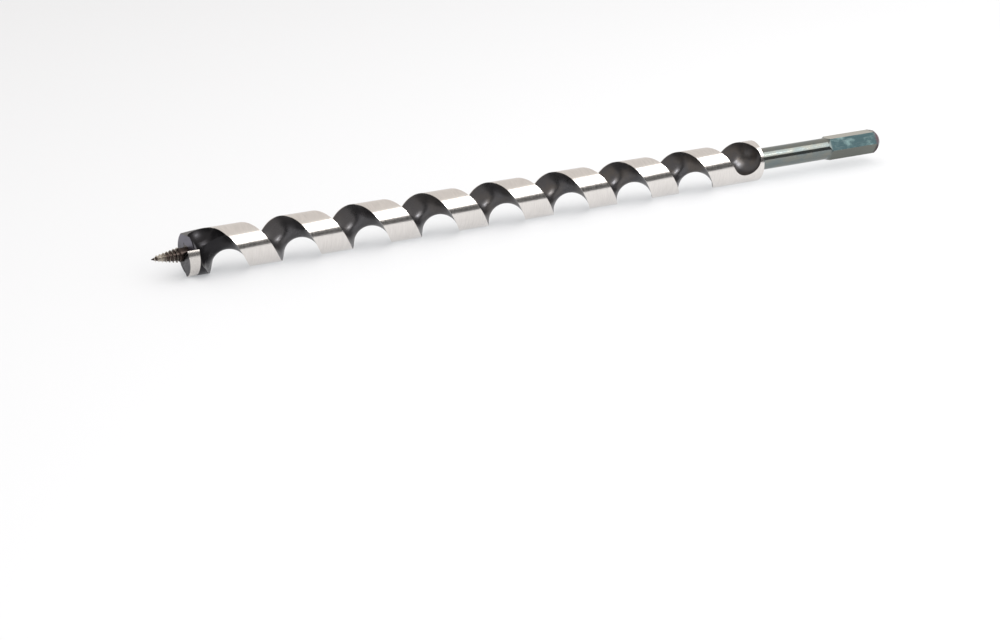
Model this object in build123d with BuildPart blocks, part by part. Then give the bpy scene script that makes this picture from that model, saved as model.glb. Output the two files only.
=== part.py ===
# Ship auger bit: a single-flute wood boring bit with a screw point and a hex shank.
# Units are millimetres. +X runs from the screw point to the driven end, +Z is up,
# and the bit lies on the surface z = 0 with the middle of its length at x = 0.
from build123d import *

import math
import os

# ---- body -----------------------------------------------------------------------
bore_size = 20.64            # hole that the bit cuts, 13/16 in
body_length = 308.5          # full diameter, from the nose face to the shoulder
shoulder_length = 3.0        # cone between the body and the shank
nose_chamfer = 0.4

# ---- flute: a round-bottomed groove cut by a ball-ended tool ----------------------
flute_lead = 36.1            # advance in one turn, right-handed
flute_tool_radius = 8.8
flute_core = 0.9             # metal left between the flute and the bit's axis
flute_nose_wall = 2.4        # between the nose face and the full flute
flute_end_wall = 1.5         # between the flute and the shoulder
flute_start_angle = 168.0    # degrees about +X, from +Y towards +Z

# ---- throat: the flute's shallow, narrowing start, where chips enter it ------------
throat_tool_radius = 7.2
throat_core = 4.35           # metal left between the throat and the bit's axis
throat_start = 6.9           # behind the nose face
throat_sweep = 62.0          # degrees that the throat turns before the full flute

# ---- clearance flat: ground on the nose's rim, running out along the body ----------
flat_depth = 1.8             # at the nose face
flat_length = 12.4
flat_angle = 83.0            # direction that the flat faces

# ---- screw point ------------------------------------------------------------------
screw_length = 17.0          # from the nose face to the tip
collar_radius = 3.15
collar_length = 4.1
collar_chamfer = 0.5
screw_core_radius = 2.35     # under the thread, beside the collar
screw_tip_radius = 0.12
core_belly = 0.6             # outward bow of the core between collar and tip
thread_pitch = 1.7
thread_width = 1.25
thread_height = 1.2
thread_end_radius = 0.8      # of the thread's root, where the thread ends
thread_root_sink = 0.35
thread_tip_clear = 1.3       # bare point ahead of the thread
thread_tip_scale = 0.4       # size of the thread where it ends
tenon_radius = 4.0
tenon_length = 3.0

# ---- lock pin of the screw point --------------------------------------------------
pin_radius = 0.65
pin_length = 2.8
pin_angle = 58.0

# ---- cutter -----------------------------------------------------------------------
cutter_rise = 3.2            # cutting lip, ahead of the nose face
cutter_seat_depth = 2.55     # behind the nose face
cutter_angle = 155.0         # rake face
cutter_spread = 95.0         # degrees from the rake face to the heel
cutter_web = 0.7             # body metal between the cutter and the tenon
cutter_relief = 8.5          # degrees

# ---- shank ------------------------------------------------------------------------
hex_size = 11.11             # across flats, 7/16 in
hex_length = 32.5
hex_angle = 148.0            # direction that one flat faces
hex_end_bevel = 3.0          # length of the turned bevel on the driven end
hex_end_slope = 38.0         # degrees from the axis
neck_diameter = 11.0
neck_length = 41.2
hex_end_bow = 0.1            # outward bow of the end bevel, left by the turning tool
neck_run_out_slope = 28.0    # degrees from the axis, where the neck meets the hex
neck_run_out_bow = 0.06      # inward bow of the run-out, left by the turning tool
spigot_radius = 3.5
spigot_length = 4.0

# ---- fits -------------------------------------------------------------------------
braze_gap = 0.05             # filler film in a brazed joint, each side
press_gap = 0.02             # a press fit is drawn this much clear, each side
socket_end_gap = 0.4         # spare depth at the bottom of a blind hole
tool_overrun = 2.0           # how far a cutting tool runs past the metal
turning_clearance = 0.2      # of the turning tool over the hexagon's corners

# ---- worked out from the above ------------------------------------------------------
body_radius = bore_size / 2
shank_start = body_length + shoulder_length
hex_start = shank_start + neck_length
driven_end = hex_start + hex_length
overall_length = screw_length + driven_end
nose_x = screw_length - overall_length / 2
flute_path_radius = flute_tool_radius + flute_core
flute_start = flute_nose_wall + flute_tool_radius
flute_run = body_length - flute_end_wall - flute_tool_radius - flute_start
throat_path_radius = throat_tool_radius + throat_core
cutter_inner_radius = tenon_radius + cutter_web
hex_turning_radius = hex_size / 2 / math.cos(math.radians(30)) + turning_clearance
pin_centre_radius = tenon_radius + press_gap + pin_radius
lengthwise = Plane(origin=(nose_x, 0, body_radius), x_dir=(1, 0, 0), z_dir=(0, -1, 0))
bit_axis = Axis((nose_x, 0, body_radius), (1, 0, 0))


def station(behind_nose, angle=0.0):
    """Plane across the bit, facing the driven end, with its x direction at an angle."""
    turn = math.radians(angle)
    return Plane(
        origin=(nose_x + behind_nose, 0, body_radius),
        x_dir=(0, math.cos(turn), math.sin(turn)),
        z_dir=(1, 0, 0),
    )


def ball_tool_pass(plane, lead, run, path_radii, tool_radii):
    """Everything that a ball-ended tool removes along one helical pass, placed on plane."""
    taper = math.degrees(math.atan2(path_radii[1] - path_radii[0], run))
    with BuildPart() as tool:
        with BuildLine() as path:
            Helix(pitch=lead, height=run, radius=path_radii[0], cone_angle=taper)
        for along, tool_radius in zip((0, 1), tool_radii):
            with BuildSketch(Plane(origin=path.line @ along, z_dir=path.line % along)):
                Circle(tool_radius)
        sweep(path=path.line, is_frenet=True, multisection=True)
        for along, tool_radius in zip((0, 1), tool_radii):
            with Locations(path.line @ along):
                Sphere(tool_radius)
    return tool.part.moved(plane.location)


screw_plane = Plane(origin=(nose_x - collar_length, 0, body_radius), x_dir=(0, 0, 1), z_dir=(-1, 0, 0))


def sector(spread):
    """Corners of a wedge that opens from the x direction and reaches past the body."""
    corners = [(0, 0)]
    for step in (0, 0.5, 1):
        turn = math.radians(spread * step)
        corners.append((2 * body_radius * math.cos(turn), 2 * body_radius * math.sin(turn)))
    return corners


flute = ball_tool_pass(
    station(flute_start, flute_start_angle),
    flute_lead,
    flute_run,
    (flute_path_radius, flute_path_radius),
    (flute_tool_radius, flute_tool_radius),
)
throat_run = flute_start - throat_start
throat = ball_tool_pass(
    station(throat_start, flute_start_angle - throat_sweep),
    throat_run * 360 / throat_sweep,
    throat_run,
    (throat_path_radius, flute_path_radius),
    (throat_tool_radius, flute_tool_radius),
)


# ---- cutter: a block brazed on the nose, with its lip ahead of the nose face --------
rake_turn = math.radians(cutter_angle)
relief_slope = math.tan(math.radians(cutter_relief))
relief_face = Plane(
    origin=(nose_x - cutter_rise, 0, body_radius),
    x_dir=(0, math.cos(rake_turn), math.sin(rake_turn)),
    z_dir=(1, relief_slope * math.sin(rake_turn), -relief_slope * math.cos(rake_turn)),
)

with BuildPart() as cutter_tip:
    with BuildSketch(station(-cutter_rise, cutter_angle)):
        with BuildLine():
            Polyline(*sector(cutter_spread), close=True)
        make_face()
        Circle(body_radius, mode=Mode.INTERSECT)
        Circle(cutter_inner_radius, mode=Mode.SUBTRACT)
    extrude(amount=cutter_rise + cutter_seat_depth)
    # the relief face falls away behind the lip, turning about the rake edge
    split(bisect_by=relief_face, keep=Keep.TOP)
    add(flute, mode=Mode.SUBTRACT)
cutter_tip.part.label = "cutter_tip"


# ---- twist body -------------------------------------------------------------------
with BuildPart() as twist_body:
    with BuildSketch(lengthwise):
        with BuildLine():
            Polyline(
                (0, 0),
                (0, body_radius - nose_chamfer),
                (nose_chamfer, body_radius),
                (body_length, body_radius),
                (shank_start, neck_diameter / 2),
                (shank_start, 0),
                close=True,
            )
        make_face()
    revolve(axis=bit_axis)
    add(flute, mode=Mode.SUBTRACT)
    add(throat, mode=Mode.SUBTRACT)
    # clearance flat, deepest at the nose
    with BuildSketch(lengthwise.rotated((flat_angle - 90, 0, 0))):
        with BuildLine():
            rise = flat_depth / flat_length
            Polyline(
                (-tool_overrun, body_radius - flat_depth - rise * tool_overrun),
                (flat_length + tool_overrun, body_radius + rise * tool_overrun),
                (-tool_overrun, body_radius + rise * tool_overrun),
                close=True,
            )
        make_face()
    extrude(amount=body_radius, both=True, mode=Mode.SUBTRACT)
    # seat for the cutter, open to the nose and to the outside
    with BuildSketch(station(-tool_overrun, cutter_angle)):
        with BuildLine():
            Polyline(*sector(cutter_spread), close=True)
        make_face()
        Circle(cutter_inner_radius - braze_gap, mode=Mode.SUBTRACT)
    extrude(amount=tool_overrun + cutter_seat_depth + braze_gap, mode=Mode.SUBTRACT)
    # socket for the tenon of the screw point
    with BuildSketch(station(0)):
        Circle(tenon_radius + press_gap)
    extrude(amount=tenon_length + socket_end_gap, mode=Mode.SUBTRACT)
    # hole for the lock pin, beside the tenon
    with BuildSketch(station(0, pin_angle)):
        with Locations((pin_centre_radius, 0)):
            Circle(pin_radius + press_gap)
    extrude(amount=pin_length + socket_end_gap, mode=Mode.SUBTRACT)
    # socket for the spigot of the shank
    with BuildSketch(station(shank_start)):
        Circle(spigot_radius + braze_gap)
    extrude(amount=-(spigot_length + socket_end_gap), mode=Mode.SUBTRACT)
twist_body.part.label = "twist_body"


# ---- screw point: a tapered wood screw on a collar, with a tenon behind -------------
# the thread is swept upright, with its crest shrinking to the tip, then laid along the bit
thread_run = screw_length - collar_length
thread_reach = thread_run - thread_tip_clear
thread_cone = math.degrees(math.atan2(screw_core_radius - thread_end_radius, thread_reach))
with BuildPart() as thread:
    with BuildLine() as thread_path:
        Helix(
            pitch=thread_pitch,
            height=thread_reach,
            radius=screw_core_radius,
            cone_angle=-thread_cone,
        )
    for along, scale in ((0, 1), (1, thread_tip_scale)):
        point = thread_path.line @ along
        outward = Vector(point.X, point.Y, 0)
        with BuildSketch(Plane(origin=point, x_dir=outward, z_dir=thread_path.line % along)):
            with BuildLine():
                Polyline(
                    (-thread_root_sink * scale, -thread_width / 2 * scale),
                    (-thread_root_sink * scale, thread_width / 2 * scale),
                    (thread_height * scale, 0),
                    close=True,
                )
            make_face()
    sweep(path=thread_path.line, is_frenet=True, multisection=True)

with BuildPart() as lead_screw:
    with BuildSketch(lengthwise):
        with BuildLine():
            Polyline(
                (-screw_length, screw_tip_radius),
                (-screw_length, 0),
                (tenon_length, 0),
                (tenon_length, tenon_radius),
                (0, tenon_radius),
                (0, collar_radius),
                (collar_chamfer - collar_length, collar_radius),
                (-collar_length, collar_radius - collar_chamfer),
                (-collar_length, screw_core_radius),
            )
            middle_radius = (screw_core_radius + screw_tip_radius) / 2 + core_belly
            ThreePointArc(
                (-collar_length, screw_core_radius),
                (-collar_length - thread_run / 2, middle_radius),
                (-screw_length, screw_tip_radius),
            )
        make_face()
    revolve(axis=bit_axis)
    add(thread.part.moved(screw_plane.location))
lead_screw.part.label = "lead_screw"


# ---- lock pin: driven in beside the tenon, flush with the nose face -----------------
with BuildPart() as screw_lock_pin:
    with BuildSketch(station(0, pin_angle)):
        with Locations((pin_centre_radius, 0)):
            Circle(pin_radius)
    extrude(amount=pin_length)
screw_lock_pin.part.label = "screw_lock_pin"


# ---- shank: hexagonal bar turned down to a round neck, with a spigot at its end -----
with BuildPart() as hex_shank:
    with BuildSketch(station(shank_start, hex_angle)):
        RegularPolygon(radius=hex_size / 2, side_count=6, major_radius=False, rotation=30)
    extrude(amount=neck_length + hex_length)
    # the turned outline keeps the neck round and bevels both ends of the hexagon
    with BuildSketch(lengthwise):
        with BuildLine():
            run_out_rise = hex_turning_radius - neck_diameter / 2
            run_out = run_out_rise / math.tan(math.radians(neck_run_out_slope))
            bevel_drop = hex_end_bevel * math.tan(math.radians(hex_end_slope))
            neck_edge = Vector(hex_start, neck_diameter / 2)
            hex_shoulder = Vector(hex_start + run_out, hex_turning_radius)
            bevel_edge = Vector(driven_end - hex_end_bevel, hex_turning_radius)
            end_edge = Vector(driven_end, hex_turning_radius - bevel_drop)
            Polyline(neck_edge, (shank_start, neck_diameter / 2), (shank_start, 0), (driven_end, 0), end_edge)
            Line(hex_shoulder, bevel_edge)
            bevel_out = Vector(bevel_drop, hex_end_bevel).normalized() * hex_end_bow
            ThreePointArc(bevel_edge, (bevel_edge + end_edge) / 2 + bevel_out, end_edge)
            run_out_in = Vector(run_out_rise, -run_out).normalized() * neck_run_out_bow
            ThreePointArc(neck_edge, (neck_edge + hex_shoulder) / 2 + run_out_in, hex_shoulder)
        make_face()
    revolve(axis=bit_axis, mode=Mode.INTERSECT)
    with BuildSketch(station(shank_start)):
        Circle(spigot_radius)
    extrude(amount=-spigot_length)
hex_shank.part.label = "hex_shank"


os.makedirs("parts", exist_ok=True)
export_step(twist_body.part, "parts/twist_body.step")
export_step(cutter_tip.part, "parts/cutter_tip.step")
export_step(lead_screw.part, "parts/lead_screw.step")
export_step(screw_lock_pin.part, "parts/screw_lock_pin.step")
export_step(hex_shank.part, "parts/hex_shank.step")

for piece in (twist_body, cutter_tip, lead_screw, screw_lock_pin, hex_shank):
    print(piece.part.label, "volume", round(piece.part.volume, 1), "mm3")
print("overall length", overall_length, "mm")
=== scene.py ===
import math

import bmesh
import bpy
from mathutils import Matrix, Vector


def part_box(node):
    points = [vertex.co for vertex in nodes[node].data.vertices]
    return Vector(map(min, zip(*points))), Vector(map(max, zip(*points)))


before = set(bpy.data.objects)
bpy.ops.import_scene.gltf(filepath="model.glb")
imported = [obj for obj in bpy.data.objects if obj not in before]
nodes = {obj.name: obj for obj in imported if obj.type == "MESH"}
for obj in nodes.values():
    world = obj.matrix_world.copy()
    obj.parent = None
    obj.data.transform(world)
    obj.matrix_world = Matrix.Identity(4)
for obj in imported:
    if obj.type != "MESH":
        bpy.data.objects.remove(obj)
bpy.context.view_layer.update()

bodyLow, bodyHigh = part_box("twist_body")
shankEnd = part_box("hex_shank")[1].x
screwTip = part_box("lead_screw")[0].x
axisHeight = (bodyLow.z + bodyHigh.z) / 2
bodyRadius = (bodyHigh.z - bodyLow.z) / 2
noseX = bodyLow.x
print("frame loaded, body radius", round(bodyRadius * 1000, 2), "mm")


# small helpers for building shader trees

def addNode(tree, kind, values=None, **settings):
    node = tree.nodes.new(kind)
    for name, value in settings.items():
        setattr(node, name, value)
    for name, value in (values or {}).items():
        if isinstance(value, bpy.types.NodeSocket):
            tree.links.new(value, node.inputs[name])
        else:
            node.inputs[name].default_value = value
    return node


def calc(tree, operation, first, second=0.0):
    return addNode(tree, "ShaderNodeMath", {0: first, 1: second}, operation=operation).outputs[0]


def fade(tree, value, low, high, start=0.0, end=1.0):
    # goes smoothly from start to end as value goes from low to high
    return addNode(tree, "ShaderNodeMapRange", {
        "Value": value, "From Min": low, "From Max": high, "To Min": start, "To Max": end,
    }, interpolation_type="SMOOTHSTEP").outputs["Result"]


def wander(tree, pattern, span):
    # a value that wanders between the two ends of a span with a pattern
    return fade(tree, pattern, 0.3, 0.7, *span)


def blendValue(tree, amount, low, high):
    # low where amount is 0, high where it is 1
    rest = calc(tree, "SUBTRACT", 1.0, amount)
    return calc(tree, "ADD", calc(tree, "MULTIPLY", amount, high), calc(tree, "MULTIPLY", rest, low))


def blendColour(tree, amount, first, second):
    node = addNode(tree, "ShaderNodeMix", data_type="RGBA")
    for socket, value in ((node.inputs[0], amount), (node.inputs[6], first), (node.inputs[7], second)):
        if isinstance(value, bpy.types.NodeSocket):
            tree.links.new(value, socket)
        else:
            socket.default_value = (*value, 1.0) if isinstance(value, tuple) else value
    return node.outputs[2]


def scaledColour(colour, share):
    return tuple(part * share for part in colour)


def speckle(tree, place, stretch, detail, roughness=0.6):
    # noise with its own spots per metre along each direction
    scaled = addNode(tree, "ShaderNodeVectorMath", {0: place, 1: stretch}, operation="MULTIPLY")
    return addNode(tree, "ShaderNodeTexNoise", {
        "Vector": scaled.outputs[0], "Scale": 1.0, "Detail": detail, "Roughness": roughness,
    }).outputs[0]


def onePart(tree, vector, axis):
    return addNode(tree, "ShaderNodeSeparateXYZ", {0: vector}).outputs[axis]


def reachFromAxis(tree, place):
    # distance from the line through the middle of the bit
    side = onePart(tree, place, "Y")
    rise = calc(tree, "SUBTRACT", onePart(tree, place, "Z"), axisHeight)
    squares = calc(tree, "ADD", calc(tree, "MULTIPLY", side, side), calc(tree, "MULTIPLY", rise, rise))
    return calc(tree, "SQRT", squares)


def startSteel(name):
    material = bpy.data.materials.new(name)
    material.use_nodes = True
    tree = material.node_tree
    place = addNode(tree, "ShaderNodeTexCoord").outputs["Object"]
    return material, tree, place


def finishSteel(tree, look, colour, roughness, metal, height):
    shader = tree.nodes["Principled BSDF"]
    tree.links.new(colour, shader.inputs["Base Color"])
    tree.links.new(roughness, shader.inputs["Roughness"])
    if isinstance(metal, bpy.types.NodeSocket):
        tree.links.new(metal, shader.inputs["Metallic"])
    else:
        shader.inputs["Metallic"].default_value = metal
    bump = addNode(tree, "ShaderNodeBump", {
        "Height": height, "Strength": look["bumpStrength"], "Distance": look["bumpDepth"],
    })
    tree.links.new(bump.outputs[0], shader.inputs["Normal"])


def dress(name, material):
    piece = nodes[name]
    piece.data.materials.clear()
    piece.data.materials.append(material)


# twist body: bright ground lands, dark scale left in the flute, tinted nose face
bodyFinish = {
    "grinding": ((5200.0, 160.0, 160.0), 5.0),
    "cloud": ((95.0, 95.0, 95.0), 5.0),
    "grain": ((1500.0, 1500.0, 1500.0), 3.0),
    "landColour": (0.80, 0.765, 0.735),
    "landDull": 0.86,
    "landSpan": (0.35, 0.65),
    "landRoughness": (0.15, 0.23),
    "landEdge": 0.00016,
    "scaleDark": (0.082, 0.080, 0.084),
    "scaleBrown": (0.125, 0.105, 0.086),
    "brownSpan": (0.42, 0.66),
    "brownRun": (-0.15, 0.12),
    "brownShare": (0.15, 0.6),
    "scaleFleck": (0.14, 0.138, 0.138),
    "fleckSpan": (0.52, 0.78),
    "fleckShare": 0.3,
    "scaleRoughness": (0.26, 0.38),
    "paintedShadeColour": (0.022, 0.021, 0.023),
    "throatShadeRun": (0.028, 0.0126),
    "noseColour": (0.100, 0.095, 0.125),
    "noseDepth": 0.00012,
    "noseBand": (0.0105, 0.01176),
    "noseShadeLine": (0.75, 1.6),
    "shoulderLength": 0.003,
    "shoulderEdge": 0.0001,
    "metallic": (0.8, 1.0),
    "bumpDepth": 0.00001,
    "bumpStrength": 0.06,
}


def makeBodySteel(look):
    material, tree, place = startSteel("groundBodySteel")
    along = onePart(tree, place, "X")
    reach = reachFromAxis(tree, place)
    grinding = speckle(tree, place, *look["grinding"])
    cloud = speckle(tree, place, *look["cloud"])
    grain = speckle(tree, place, *look["grain"])

    # land is 1 on ground metal and 0 on the scale
    edge = look["landEdge"]
    land = fade(tree, reach, bodyRadius - 2 * edge, bodyRadius - edge / 2)
    # no ground land in a band beside the nose, so the rim there takes the same near-black colour as the
    # throat's painted shade
    bandStart, bandEnd = look["noseBand"]
    land = calc(tree, "MULTIPLY", land, fade(tree, along, noseX + bandStart, noseX + bandEnd))
    # the cone at the shoulder was ground with the lands
    shoulderX = bodyHigh.x - look["shoulderLength"]
    shoulderEdge = look["shoulderEdge"]
    cone = fade(tree, along, shoulderX - shoulderEdge, shoulderX + shoulderEdge)
    land = calc(tree, "MAXIMUM", land, cone)
    groove = scaledColour(look["landColour"], look["landDull"])
    landTone = blendColour(tree, fade(tree, grinding, *look["landSpan"]), groove, look["landColour"])

    # the scale turns browner towards the tail
    towardsTail = fade(tree, along, *look["brownRun"], *look["brownShare"])
    brownPatch = calc(tree, "MULTIPLY", fade(tree, cloud, *look["brownSpan"]), towardsTail)
    scaleTone = blendColour(tree, brownPatch, look["scaleDark"], look["scaleBrown"])
    fleck = fade(tree, grain, *look["fleckSpan"], 0.0, look["fleckShare"])
    scaleTone = blendColour(tree, fleck, scaleTone, look["scaleFleck"])
    # painted shade: the scale in the throat behind the nose is coloured near black
    throatEnd, throatFull = look["throatShadeRun"]
    shadedThroat = fade(tree, along, noseX + throatEnd, noseX + throatFull)
    scaleTone = blendColour(tree, shadedThroat, scaleTone, look["paintedShadeColour"])
    colour = blendColour(tree, land, scaleTone, landTone)

    # painted shade: the nose face is darker on its lower part and lighter on top
    shadeLow, shadeHigh = look["noseShadeLine"]
    upper = fade(tree, onePart(tree, place, "Z"), bodyRadius * shadeLow, bodyRadius * shadeHigh)
    noseTone = blendColour(tree, upper, look["paintedShadeColour"], look["noseColour"])
    nose = fade(tree, along, noseX + look["noseDepth"], noseX + look["noseDepth"] / 2)
    colour = blendColour(tree, nose, colour, noseTone)

    landRough = wander(tree, grinding, look["landRoughness"])
    scaleRough = wander(tree, cloud, look["scaleRoughness"])
    rough = blendValue(tree, land, scaleRough, landRough)
    metal = fade(tree, land, 0.0, 1.0, *look["metallic"])
    finishSteel(tree, look, colour, rough, metal, blendValue(tree, land, grain, grinding))
    return material


dress("twist_body", makeBodySteel(bodyFinish))
print("twist body dressed")


# cutter: ground like the lands outside; its front and other faces are painted dark as painted shade,
# with stain spots
cutterFinish = {
    "grinding": ((4600.0, 300.0, 300.0), 5.0),
    "stain": ((420.0, 420.0, 420.0), 4.0),
    "outside": (0.66, 0.63, 0.60),
    "outsideDepth": (0.0004, 0.0001),
    "front": (0.045, 0.043, 0.046),
    "stainShare": 1.7,
    "stainSpan": (0.35, 0.7),
    "roughness": (0.15, 0.30),
    "metallic": 1.0,
    "bumpDepth": 0.00002,
    "bumpStrength": 0.2,
}


def makeCutterSteel(look):
    material, tree, place = startSteel("groundCutterSteel")
    grinding = speckle(tree, place, *look["grinding"])
    stain = fade(tree, speckle(tree, place, *look["stain"]), *look["stainSpan"])
    deep, shallow = look["outsideDepth"]
    outside = fade(tree, reachFromAxis(tree, place), bodyRadius - deep, bodyRadius - shallow)
    # painted shade: every face away from the outside takes the dark front colour
    front = blendColour(tree, stain, look["front"], scaledColour(look["front"], look["stainShare"]))
    colour = blendColour(tree, outside, front, look["outside"])
    rough = wander(tree, grinding, look["roughness"])
    finishSteel(tree, look, colour, rough, look["metallic"], grinding)
    return material


dress("cutter_tip", makeCutterSteel(cutterFinish))


# screw point: oiled dark brown, bright along the thread's crest, partly rubbed wear and partly painted
# highlight
screwFinish = {
    "stain": ((700.0, 700.0, 700.0), 5.0),
    "root": (0.040, 0.030, 0.026),
    "rootStain": 1.8,
    "crest": (0.66, 0.61, 0.53),
    "rootRadius": 0.0028,
    "crestRadius": 0.0034,
    "tipShare": 0.25,
    "collarLength": 0.0041,
    "collarEdge": 0.0002,
    "wornSpan": (0.3, 0.6),
    "wornShare": (0.35, 1.0),
    "roughness": (0.28, 0.46),
    "metallic": 0.9,
    "bumpDepth": 0.00003,
    "bumpStrength": 0.2,
}


def makeScrewSteel(look):
    material, tree, place = startSteel("oiledScrewSteel")
    along = onePart(tree, place, "X")
    stain = speckle(tree, place, *look["stain"])
    collarX = noseX - look["collarLength"]
    # the thread tapers, so the bright crest is judged against a cone that shrinks to the tip
    taper = fade(tree, along, screwTip, collarX, look["tipShare"], 1.0)
    share = calc(tree, "DIVIDE", reachFromAxis(tree, place), taper)
    crest = fade(tree, share, look["rootRadius"], look["crestRadius"])
    ahead = fade(tree, along, collarX + look["collarEdge"], collarX - look["collarEdge"])
    rubbed = fade(tree, stain, *look["wornSpan"], *look["wornShare"])
    # the bright crest is partly rubbed wear and partly painted highlight
    wornAndGlinting = calc(tree, "MULTIPLY", calc(tree, "MULTIPLY", crest, ahead), rubbed)
    root = blendColour(tree, stain, look["root"], scaledColour(look["root"], look["rootStain"]))
    colour = blendColour(tree, wornAndGlinting, root, look["crest"])
    finishSteel(tree, look, colour, wander(tree, stain, look["roughness"]), look["metallic"], stain)
    return material


dress("lead_screw", makeScrewSteel(screwFinish))


# lock pin: a black dot on the nose face
pinFinish = {
    "grain": ((1800.0, 1800.0, 1800.0), 3.0),
    "colour": (0.022, 0.020, 0.022),
    "grainShare": 2.4,
    "roughness": (0.37, 0.54),
    "metallic": 0.9,
    "bumpDepth": 0.00002,
    "bumpStrength": 0.2,
}


def makePinSteel(look):
    material, tree, place = startSteel("blackPinSteel")
    grain = speckle(tree, place, *look["grain"])
    colour = blendColour(tree, grain, look["colour"], scaledColour(look["colour"], look["grainShare"]))
    finishSteel(tree, look, colour, wander(tree, grain, look["roughness"]), look["metallic"], grain)
    return material


dress("screw_lock_pin", makePinSteel(pinFinish))
print("cutter, screw point and pin dressed")


# shank: blue-green heat colour, mottled on the neck, purple-brown at the driven end
shankFinish = {
    "drawn": ((120.0, 2600.0, 2600.0), 4.0),
    "drawnColour": (0.34, 0.36, 0.35),
    "drawnSpan": (0.55, 0.8),
    "drawnShare": 0.3,
    "cloud": ((130.0, 230.0, 230.0), 5.0),
    "teal": (0.168, 0.196, 0.196),
    "khaki": (0.205, 0.212, 0.192),
    "khakiSpan": (0.36, 0.64),
    "blotch": ((260.0, 420.0, 420.0), 6.0, 0.7),
    "blotchColour": (0.060, 0.072, 0.076),
    "blotchSpan": (0.58, 0.72),
    "blotchShare": 0.55,
    "hexLength": 0.0325,
    "hexEdge": 0.002,
    "hexTeal": (0.030, 0.054, 0.060),
    "hexSmear": (0.110, 0.165, 0.165),
    "smearSpan": (0.46, 0.72),
    "hexTopPaintedReflection": (0.400, 0.395, 0.345),
    "topFacing": (0.9, 0.97),
    "hexBelowPaintedReflection": (0.150, 0.158, 0.140),
    "belowFacing": (-0.2, -0.4),
    "endTint": (0.060, 0.038, 0.045),
    "endBand": (0.00416, 0.00192),
    "roughness": (0.08, 0.16),
    "metallic": 0.92,
    "bumpDepth": 0.00001,
    "bumpStrength": 0.08,
}


def makeShankSteel(look):
    material, tree, place = startSteel("heatTintedShankSteel")
    along = onePart(tree, place, "X")
    drawn = speckle(tree, place, *look["drawn"])
    cloud = speckle(tree, place, *look["cloud"])
    blotch = speckle(tree, place, *look["blotch"])
    colour = blendColour(tree, fade(tree, cloud, *look["khakiSpan"]), look["teal"], look["khaki"])
    mottle = fade(tree, blotch, *look["blotchSpan"], 0.0, look["blotchShare"])
    colour = blendColour(tree, mottle, colour, look["blotchColour"])

    # the hexagon took a deeper colour; its top flat is painted lighter and its lower flats paler, as
    # painted reflection by which way each flat faces
    hexTone = blendColour(tree, fade(tree, cloud, *look["smearSpan"]), look["hexTeal"], look["hexSmear"])
    facing = onePart(tree, addNode(tree, "ShaderNodeTexCoord").outputs["Normal"], "Z")
    hexTone = blendColour(tree, fade(tree, facing, *look["topFacing"]), hexTone, look["hexTopPaintedReflection"])
    hexTone = blendColour(tree, fade(tree, facing, *look["belowFacing"]), hexTone, look["hexBelowPaintedReflection"])
    hexStart = shankEnd - look["hexLength"]
    colour = blendColour(tree, fade(tree, along, hexStart, hexStart + look["hexEdge"]), colour, hexTone)

    drawnLine = fade(tree, drawn, *look["drawnSpan"], 0.0, look["drawnShare"])
    colour = blendColour(tree, drawnLine, colour, look["drawnColour"])
    endStart, endFull = look["endBand"]
    tinted = fade(tree, along, shankEnd - endStart, shankEnd - endFull)
    colour = blendColour(tree, tinted, colour, look["endTint"])
    finishSteel(tree, look, colour, wander(tree, blotch, look["roughness"]), look["metallic"], drawn)
    return material


dress("hex_shank", makeShankSteel(shankFinish))
print("shank dressed")


# floor, with a pale paper surface
floorSetup = {"halfWidth": 14.0, "colour": (0.795, 0.815, 0.840), "roughness": 0.8, "specular": 0.1}


def makeSheet(name, corners):
    mesh = bpy.data.meshes.new(name)
    shape = bmesh.new()
    shape.faces.new([shape.verts.new(corner) for corner in corners])
    shape.to_mesh(mesh)
    shape.free()
    piece = bpy.data.objects.new(name, mesh)
    bpy.context.scene.collection.objects.link(piece)
    return piece


half = floorSetup["halfWidth"]
floorCorners = [(-half, -half, 0), (half, -half, 0), (half, half, 0), (-half, half, 0)]
studioFloor = makeSheet("studioFloor", floorCorners)
floorPaper = bpy.data.materials.new("floorPaper")
floorPaper.use_nodes = True
floorShader = floorPaper.node_tree.nodes["Principled BSDF"]
floorShader.inputs["Base Color"].default_value = (*floorSetup["colour"], 1.0)
floorShader.inputs["Roughness"].default_value = floorSetup["roughness"]
floorShader.inputs["Specular IOR Level"].default_value = floorSetup["specular"]
studioFloor.data.materials.append(floorPaper)


# dark surround, low across the front: it draws the dark line along polished rounds
surroundSetup = {
    "radius": 2.4, "low": 0.0, "high": 1.12,
    "sides": 48, "fromTurn": 185.0, "toTurn": 355.0, "glow": 0.085,
}


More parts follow.
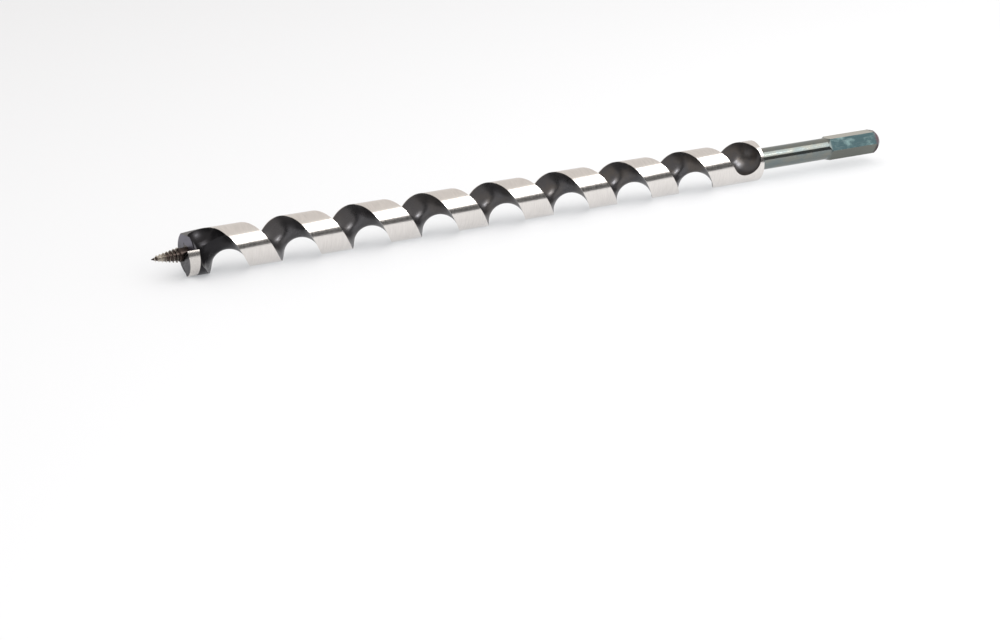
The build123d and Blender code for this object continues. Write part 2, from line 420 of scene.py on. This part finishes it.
def makeSurround(look):
    mesh = bpy.data.meshes.new("darkSurround")
    shape = bmesh.new()
    span = look["toTurn"] - look["fromTurn"]
    turns = [math.radians(look["fromTurn"] + span * k / look["sides"]) for k in range(look["sides"] + 1)]
    rings = []
    for height in (look["low"], look["high"]):
        rim = [(look["radius"] * math.cos(t), look["radius"] * math.sin(t), height) for t in turns]
        rings.append([shape.verts.new(corner) for corner in rim])
    for k in range(look["sides"]):
        shape.faces.new([rings[0][k], rings[0][k + 1], rings[1][k + 1], rings[1][k]])
    shape.to_mesh(mesh)
    shape.free()
    piece = bpy.data.objects.new("darkSurround", mesh)
    bpy.context.scene.collection.objects.link(piece)
    piece.visible_camera = False
    piece.visible_diffuse = False
    piece.visible_shadow = False
    cloth = bpy.data.materials.new("surroundCloth")
    cloth.use_nodes = True
    clothShader = cloth.node_tree.nodes["Principled BSDF"]
    clothShader.inputs["Base Color"].default_value = (0.0, 0.0, 0.0, 1.0)
    clothShader.inputs["Specular IOR Level"].default_value = 0.0
    clothShader.inputs["Emission Color"].default_value = (1.0, 1.0, 1.0, 1.0)
    clothShader.inputs["Emission Strength"].default_value = look["glow"]
    mesh.materials.append(cloth)


makeSurround(surroundSetup)


# soft boxes and the room's own light
lightSetup = {
    "frontBox": {
        "place": (0.74, -1.00, 1.30), "size": (2.0, 1.25), "power": 17.0, "tint": (1.0, 0.99, 0.975),
    },
    "frontSpark": {
        "place": (0.72, -0.98, 1.24), "size": (0.80, 0.26), "power": 8.5, "tint": (0.97, 0.985, 1.0),
    },
}
roomSetup = {"colour": (0.83, 0.795, 0.765), "strength": 0.98}

for name, look in lightSetup.items():
    lamp = bpy.data.lights.new(name, "AREA")
    lamp.shape = "RECTANGLE"
    lamp.size, lamp.size_y = look["size"]
    lamp.energy = look["power"]
    lamp.color = look["tint"]
    # only the room shades the floor, which keeps the shadow pale
    lamp.use_shadow = False
    box = bpy.data.objects.new(name, lamp)
    box.location = look["place"]
    box.rotation_euler = (-Vector(look["place"])).to_track_quat("-Z", "Y").to_euler()
    bpy.context.scene.collection.objects.link(box)

room = bpy.data.worlds.new("room")
room.use_nodes = True
roomLight = room.node_tree.nodes["Background"]
roomLight.inputs["Color"].default_value = (*roomSetup["colour"], 1.0)
roomLight.inputs["Strength"].default_value = roomSetup["strength"]
bpy.context.scene.world = room
# the floor stays a clean white
bpy.context.scene.view_settings.view_transform = "Standard"
print("studio lit")


# camera
cameraSetup = {
    "place": (-0.5973, -1.0151, 0.3645),
    "tiltDown": 0.34099, "turn": -0.51545, "roll": 0.00021,
    "lens": 91.66, "sensor": 36.0,
}

lens = bpy.data.cameras.new("studioCamera")
lens.lens = cameraSetup["lens"]
lens.sensor_width = cameraSetup["sensor"]
camera = bpy.data.objects.new("studioCamera", lens)
camera.location = cameraSetup["place"]
level = math.pi / 2
camera.rotation_euler = (level - cameraSetup["tiltDown"], cameraSetup["roll"], cameraSetup["turn"])
bpy.context.scene.collection.objects.link(camera)
bpy.context.scene.camera = camera
print("camera placed")
